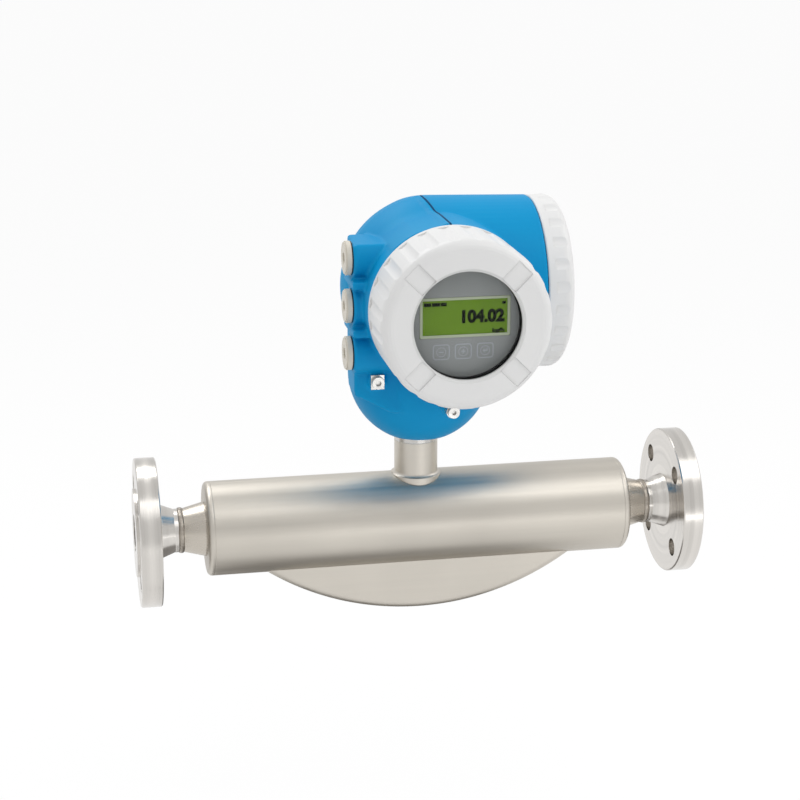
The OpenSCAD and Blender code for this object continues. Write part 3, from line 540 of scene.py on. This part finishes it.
LCD_W = (PANEL_HIGH.x - PANEL_LOW.x) / MM
LCD_H = (PANEL_HIGH.z - PANEL_LOW.z) / MM
LCD_RISE = ((PANEL_HIGH.z + PANEL_LOW.z) / 2 - AXIS_Z) / MM
FRAME_CORNER = 1.4
FRAME_LINE = 1.9
TEXT_RIGHT = LCD_W / 2 - 4.0  # where the figures and the unit end
FIGURES_BASE = LCD_RISE - 4.7
FIGURES_H = 9.8
UNIT_BASE = LCD_RISE - 13.0
UNIT_H = 4.2
STATUS_LEFT = -LCD_W / 2 + 3.0
STATUS_RISE = LCD_RISE + 9.5
STATUS_H = 2.6
STATUS_BLOCKS = ((2.6, 5.2), (8.7, 6.0), (14.2, 4.2))  # middle and width of each block in the bar
DOT_X = LCD_W / 2 - 4.6
DOT_RISE = LCD_RISE + 9.2
DOT_W, DOT_H = 2.6, 2.0
KEYS = (-17.0, -1.2, 14.6)  # middles of the three keys
KEY_RISE = LCD_RISE - 24.6
KEY_W, KEY_H = 12.2, 11.2
KEY_CORNER = 2.4
KEY_BORDER = 0.8
RING_D = 7.0
RING_BORDER = 0.5
MARK_ARM = 1.7  # half the length of a mark's line
MARK_LINE = 0.8
INK_THICK = 0.03 * MM
PRINT_SINK = 0.1 * MM  # how deep a key's frame starts in the face


def flat_piece(name, outlines, out, thick, material):
    """Outlines with a raised front face, each a list of points, standing on the plane at out."""
    bm = bmesh.new()
    for outline in outlines:
        ring = [bm.verts.new(front(x * MM, y * MM, out)) for x, y in outline]
        face = bm.faces.new(ring)
        made = bmesh.ops.extrude_face_region(bm, geom=[face])
        top = [v for v in made["geom"] if isinstance(v, bmesh.types.BMVert)]
        for v in top:
            v.co += Vector((0, -thick, 0))
    bmesh.ops.recalc_face_normals(bm, faces=bm.faces)
    return piece_from(bm, name, material, "display_module")


def box_outline(x, y, w, h):
    left, right, low, high = x - w / 2, x + w / 2, y - h / 2, y + h / 2
    return [(left, low), (right, low), (right, high), (left, high)]


def round_outline(x, y, w, h, r):
    """A rectangle with corners of radius r."""
    steps = 5
    points = []
    for side, level, start in ((1, -1, -90), (1, 1, 0), (-1, 1, 90), (-1, -1, 180)):
        corner_x = x + side * (w / 2 - r)
        corner_y = y + level * (h / 2 - r)
        for i in range(steps + 1):
            a = math.radians(start + 90 * i / steps)
            points.append((corner_x + r * math.cos(a), corner_y + r * math.sin(a)))
    return points


def framed(name, x, y, w, h, r, line, out, thick, material):
    """A rounded rectangular frame with a line of the given width."""
    outer = round_outline(x, y, w, h, r)
    inner = round_outline(x, y, w - 2 * line, h - 2 * line, max(r - line, 0.2))
    bm = bmesh.new()
    loops = []
    for points, depth in ((outer, 0), (outer, thick), (inner, thick), (inner, 0)):
        loops.append([bm.verts.new(front(px * MM, py * MM, out + depth)) for px, py in points])
    n = len(outer)
    for a, b in zip(loops, loops[1:] + loops[:1]):
        for i in range(n):
            bm.faces.new((a[i], a[(i + 1) % n], b[(i + 1) % n], b[i]))
    bmesh.ops.recalc_face_normals(bm, faces=bm.faces)
    return piece_from(bm, name, material, "display_module")


def words(name, text, base, height, squeeze, weight):
    """Ink figures that end at TEXT_RIGHT, on the base line at base."""
    relief = 0.02
    curve = bpy.data.curves.new(name, "FONT")
    curve.body = text
    curve.align_x = "RIGHT"
    curve.size = 1.0
    curve.extrude = relief
    curve.offset = weight
    curve.resolution_u = 6
    obj = bpy.data.objects.new(name, curve)
    bpy.context.scene.collection.objects.link(obj)
    bpy.context.view_layer.update()
    mesh = applied(obj)
    bpy.data.objects.remove(obj)
    points = [v.co.copy() for v in mesh.vertices]
    high = max(p.y for p in points)
    low = min(p.y for p in points)
    far = max(p.x for p in points)
    scale = height / (high - low)
    for v, p in zip(mesh.vertices, points):
        right = TEXT_RIGHT + (p.x - far) * scale * squeeze
        up = base + (p.y - low) * scale
        v.co = front(right * MM, up * MM, PANEL_OUT + max(p.z, -relief) * 2 * MM)
    return piece(name, mesh, INK, "display_module")


def plus_outline(x, y, arm, line):
    """A plus sign, from its lower left corner round to the right."""
    half = line / 2
    corners = ((-half, -arm), (half, -arm), (half, -half))  # the lower arm up to the right-hand one
    points = []
    for quarter in range(4):
        a = math.pi / 2 * quarter
        for cx, cy in corners:
            turned_x = cx * math.cos(a) - cy * math.sin(a)
            turned_y = cx * math.sin(a) + cy * math.cos(a)
            points.append((x + turned_x, y + turned_y))
    return points


def enter_outline(x, y):
    """An arrow that points left, with its tail bent up."""
    tip, head, tail = -1.9, -0.3, MARK_ARM
    shaft_low, shaft_high, bend = -0.5, 0.4, 0.9
    corners = ((tip, 0), (head, -1.6), (head, shaft_low), (tail, shaft_low), (tail, 1.5), (bend, 1.5),
               (bend, shaft_high), (head, shaft_high), (head, 1.5))
    return [(x + cx, y + cy) for cx, cy in corners]


framed("display_frame", 0, LCD_RISE, LCD_W - 0.2, LCD_H - 0.2, FRAME_CORNER, FRAME_LINE,
       PANEL_OUT - 0.4 * MM, 1.2 * MM, PALE)
words("display_figures", "104.02", FIGURES_BASE, FIGURES_H, squeeze=0.98, weight=0.055)
words("display_unit", "kg/h", UNIT_BASE, UNIT_H, squeeze=1.3, weight=0.06)
status = [box_outline(STATUS_LEFT + x, STATUS_RISE, w, STATUS_H) for x, w in STATUS_BLOCKS]
flat_piece("display_status_bar", status, PANEL_OUT, INK_THICK, INK)
dot = box_outline(DOT_X, DOT_RISE, DOT_W, DOT_H)
flat_piece("display_status_dot", [dot], PANEL_OUT, INK_THICK, INK)
for i, key_x in enumerate(KEYS, 1):
    framed("key_%d_outline" % i, key_x, KEY_RISE, KEY_W, KEY_H, KEY_CORNER, KEY_BORDER,
           PLATE_OUT - PRINT_SINK, 0.22 * MM, KEY_LINE)
    framed("key_%d_ring" % i, key_x, KEY_RISE, RING_D, RING_D, RING_D / 2 - 0.01, RING_BORDER,
           PLATE_OUT - PRINT_SINK, 0.2 * MM, KEY_LINE)
marks = {
    "key_1_mark": box_outline(KEYS[0], KEY_RISE, 2 * MARK_ARM, MARK_LINE),
    "key_2_mark": plus_outline(KEYS[1], KEY_RISE, MARK_ARM, MARK_LINE),
    "key_3_mark": enter_outline(KEYS[2], KEY_RISE),
}
for name, outline in marks.items():
    flat_piece(name, [outline], PLATE_OUT - 0.05 * MM, 0.15 * MM, KEY_LINE)


# ---- Welds ----

def weld_bead(name, x):
    """A bead round the pipe, with the crescent ripples that each pass leaves."""
    around, across = 480, 12
    rows = []
    for i in range(around):
        a = 2 * math.pi * i / around
        row = []
        for j in range(across + 1):
            v = 2 * j / across - 1  # from -1 to 1 across the bead
            phase = (WELD_PASSES * a / (2 * math.pi) + 0.55 * v * v) % 1.0
            ripple = WELD_RIPPLE * ((1 - v * v) * (1 - phase) ** 1.5 - 0.5)
            wander = WELD_WANDER * (math.sin(5 * a) + math.sin(11 * a + 1) * 2 / 3)
            r = PIPE_R / MM - WELD_SUNK + WELD_HEIGHT * math.sqrt(max(1 - v * v, 0)) + ripple
            along = x + (v * WELD_WIDTH / 2 + wander) * MM
            row.append((along, r * MM * math.sin(a), r * MM * math.cos(a)))
        rows.append(row)
    verts = [p for row in rows for p in row]
    faces = []
    for i in range(around):
        here, following = i * (across + 1), (i + 1) % around * (across + 1)
        for j in range(across):
            faces.append((here + j, here + j + 1, following + j + 1, following + j))
    mesh = bpy.data.meshes.new(name)
    mesh.from_pydata(verts, [], faces)
    for p in mesh.polygons:
        p.use_smooth = True
    return piece(name, mesh, WELD, "sensor")


weld_bead("inlet_weld", INLET_WELD_X)
weld_bead("outlet_weld", OUTLET_WELD_X)

SHARP_ANGLE = 32  # degrees
for obj in NODES.values():
    shade(obj.data, SHARP_ANGLE)


# ---- Stage ----

def aim(obj, target):
    obj.rotation_euler = (Vector(target) - obj.location).to_track_quat("-Z", "Y").to_euler()


def area_light(name, place, target, size, power):
    data = bpy.data.lights.new(name, "AREA")
    data.shape = "RECTANGLE"
    data.size, data.size_y = size
    data.energy = power
    obj = bpy.data.objects.new(name, data)
    bpy.context.scene.collection.objects.link(obj)
    obj.location = place
    obj.visible_camera = False
    aim(obj, target)


def stage_plane(name, corners, height):
    """A flat object of the studio, given by two opposite corners (x, y)."""
    (x0, y0), (x1, y1) = corners
    mesh = bpy.data.meshes.new(name)
    mesh.from_pydata([(x0, y0, 0), (x1, y0, 0), (x1, y1, 0), (x0, y1, 0)], [], [(0, 1, 2, 3)])
    obj = bpy.data.objects.new(name, mesh)
    bpy.context.scene.collection.objects.link(obj)
    obj.location.z = height
    return obj


scene = bpy.context.scene
scene.view_settings.view_transform = "Standard"

# A white tent with a level that changes from front to back
world = bpy.data.worlds.new("studio")
scene.world = world
world.use_nodes = True
wt = world.node_tree
wt.nodes.clear()
w_out = node(wt, "OutputWorld")
w_bg = node(wt, "Background")
w_at = node(wt, "TexCoord")
w_parts = node(wt, "SeparateXYZ")
w_level = node(wt, "MapRange")
w_level.inputs["From Min"].default_value = -0.7
w_level.inputs["From Max"].default_value = 0.7
w_level.inputs["To Min"].default_value = TENT_FRONT
w_level.inputs["To Max"].default_value = TENT_BACK
w_bg.inputs["Color"].default_value = (1, 1, 1, 1)
link(wt, w_at.outputs["Generated"], w_parts.inputs[0])
link(wt, w_parts.outputs["Y"], w_level.inputs["Value"])
link(wt, w_level.outputs[0], w_bg.inputs["Strength"])
link(wt, w_bg.outputs[0], w_out.inputs[0])

# A pale floor that looks nearly white to the camera, to metal and to glass, and keeps the shadow
floor = stage_plane("floor", ((-FLOOR_REACH, -FLOOR_REACH), (FLOOR_REACH, FLOOR_REACH)), FLOOR_Z)
floor_mat, ft, fb = new_material("floor_white")
fb.inputs["Base Color"].default_value = (0.93, 0.93, 0.93, 1)
fb.inputs["Roughness"].default_value = 0.9
f_out = material_output(ft)
f_light = node(ft, "Emission")
f_path = node(ft, "LightPath")
f_mix = node(ft, "MixShader")
f_part = node(ft, "Math", operation="MULTIPLY")
f_part.inputs[1].default_value = FLOOR_WHITE
f_seen = node(ft, "Math", operation="MAXIMUM")
f_any = node(ft, "Math", operation="MAXIMUM")
link(ft, f_path.outputs["Is Camera Ray"], f_seen.inputs[0])
link(ft, f_path.outputs["Is Glossy Ray"], f_seen.inputs[1])
link(ft, f_seen.outputs[0], f_any.inputs[0])
link(ft, f_path.outputs["Is Transmission Ray"], f_any.inputs[1])
link(ft, f_any.outputs[0], f_part.inputs[0])
link(ft, f_part.outputs[0], f_mix.inputs[0])
link(ft, fb.outputs[0], f_mix.inputs[1])
link(ft, f_light.outputs[0], f_mix.inputs[2])
link(ft, f_mix.outputs[0], f_out.inputs[0])
floor.data.materials.append(floor_mat)

# A grey card under the meter, seen only in reflections, where it keeps the steel's lower edges dark
card = stage_plane("lower_card", ((CARD_LEFT, CARD_FRONT), (CARD_RIGHT, CARD_BACK)), CARD_Z)
card_mat, _, card_bsdf = new_material("card_grey")
card_bsdf.inputs["Base Color"].default_value = (0.26, 0.25, 0.24, 1)
card_bsdf.inputs["Roughness"].default_value = 0.9
card.data.materials.append(card_mat)
card.visible_camera = False
card.visible_diffuse = False
card.visible_shadow = False
card.visible_transmission = False

# Soft lamps: the main one above the camera, one from behind for the casing's upper edge, one from
# the right and a faint one for the underside
area_light("top", (0.6, -0.72, 1.3), LIGHT_TARGET, (1.2, 0.8), 4)
area_light("crown", (-0.25, 0.75, 1.25), (MID_X, 0, AXIS_Z), (0.9, 0.7), 7)
area_light("right", (1.6, 0.1, 1.0), (MID_X, 0, AXIS_Z), (0.6, 0.9), 4.5)
area_light("low", (0.58, -1.05, -0.2), (0.4, 0, 0), (0.7, 0.12), 0.5)

camera = bpy.data.objects.new("camera", bpy.data.cameras.new("camera"))
scene.collection.objects.link(camera)
camera.location = CAMERA_PLACE
camera.rotation_euler = (math.radians(90 - CAMERA_DOWN), 0, math.radians(-CAMERA_RIGHT))
camera.data.lens = CAMERA_LENS
camera.data.sensor_width = 36
camera.data.clip_end = 100
scene.camera = camera
